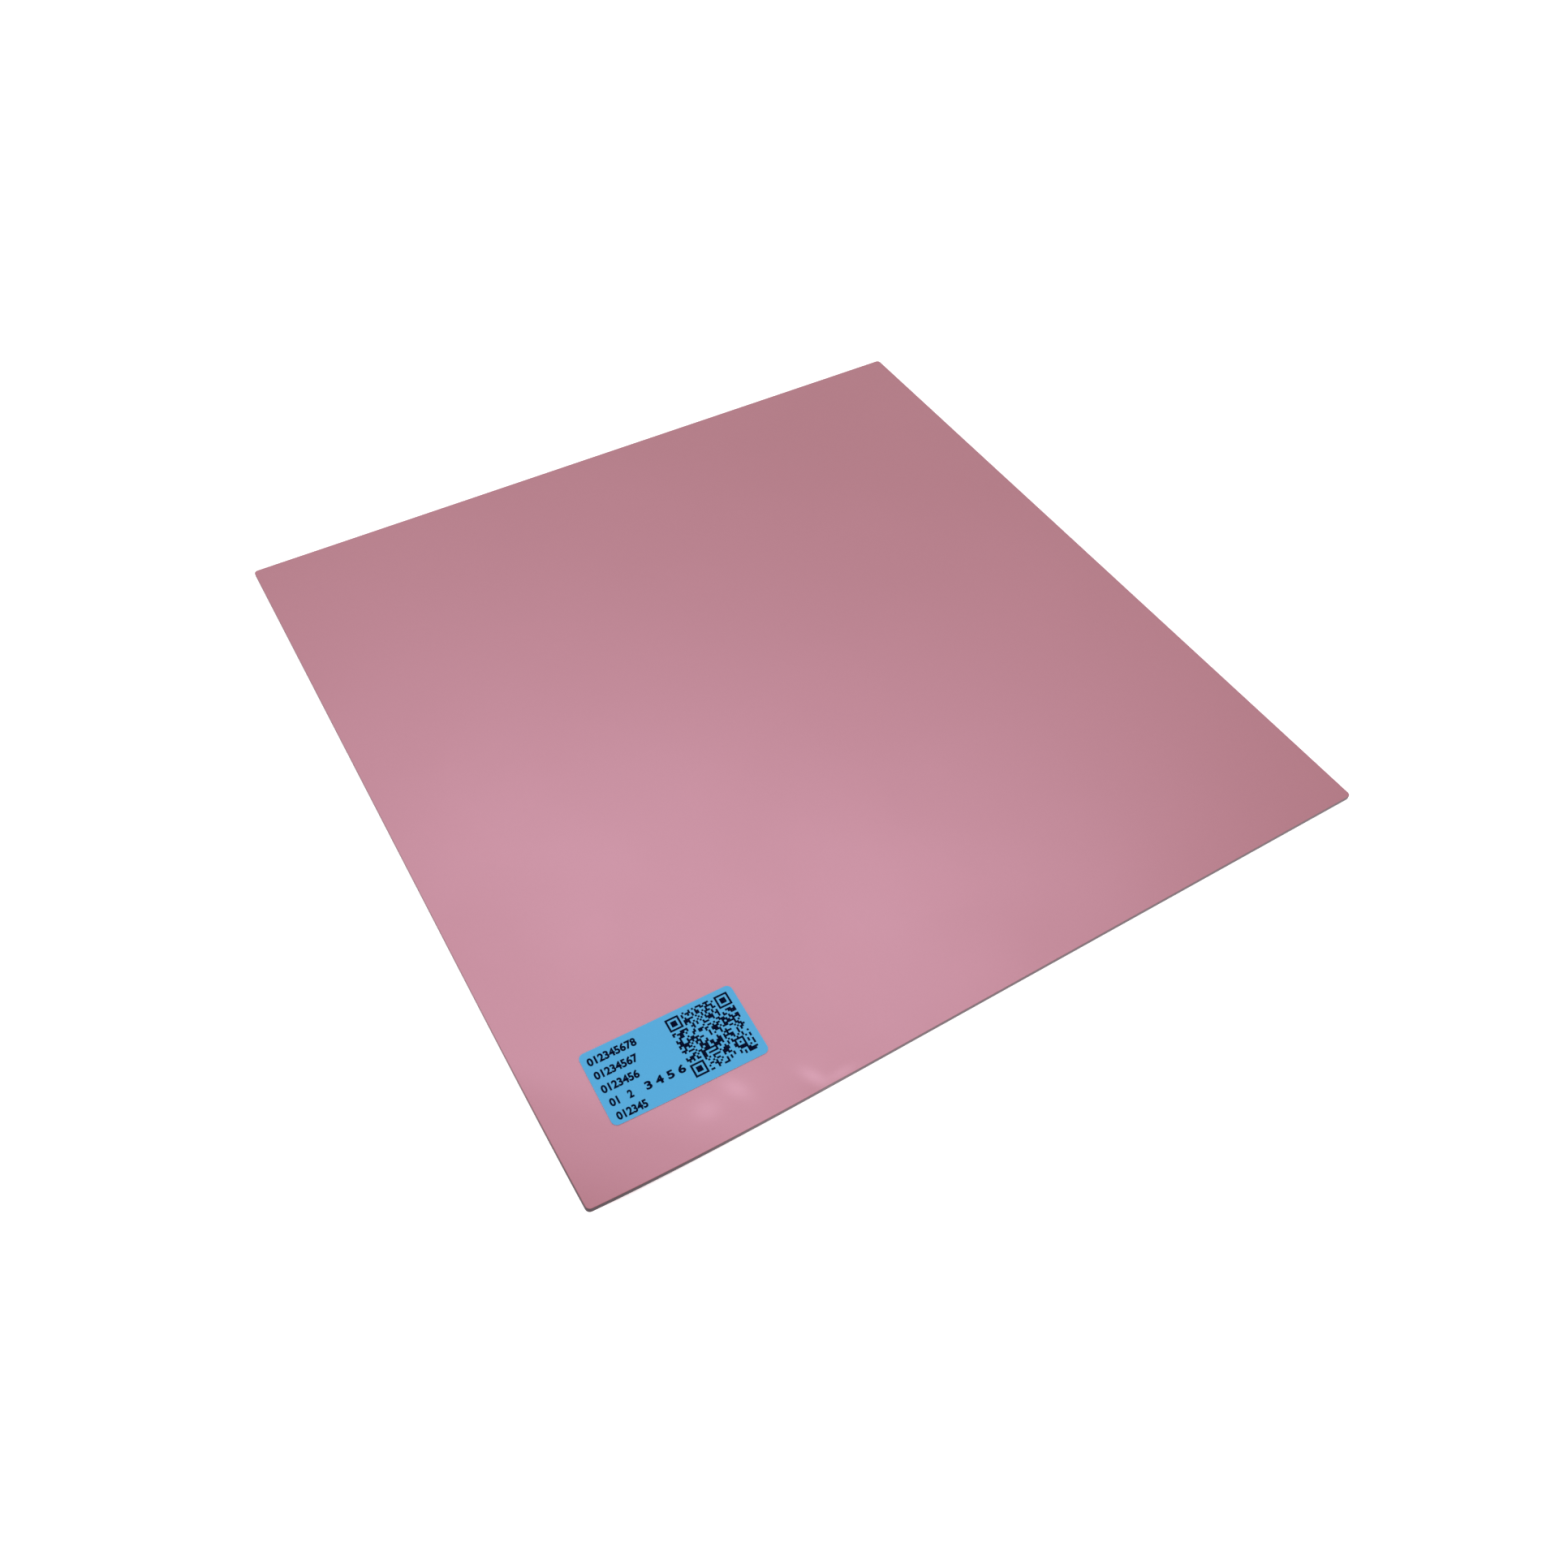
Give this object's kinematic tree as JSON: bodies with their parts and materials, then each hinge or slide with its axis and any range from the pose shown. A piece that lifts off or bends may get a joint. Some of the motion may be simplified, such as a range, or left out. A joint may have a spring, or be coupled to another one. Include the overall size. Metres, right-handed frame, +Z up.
{
  "type": "thermal pad sheet",
  "caption": "Square flat sheet of soft pink silicone gap filler, cut to size to carry heat from parts to a heatsink, with a small blue label near one corner.",
  "frame": {"origin": "middle of the sheet's underside, at the level of the surface it lies on", "axes": "+Z up through the thickness; +X along the front side, from the corner by the label; +Y from the front side to the back side"},
  "size_m": [0.2286, 0.2286, 0.0056],
  "materials": {
    "pad_silicone": "smooth satin, slightly tacky, cut sides a little duller",
    "label_paper": "satin printed sticker with dark ink"
  },
  "bodies": {
    "root": {"pad_sheet": "pad_silicone", "label": "label_paper"}
  },
  "joints": []
}
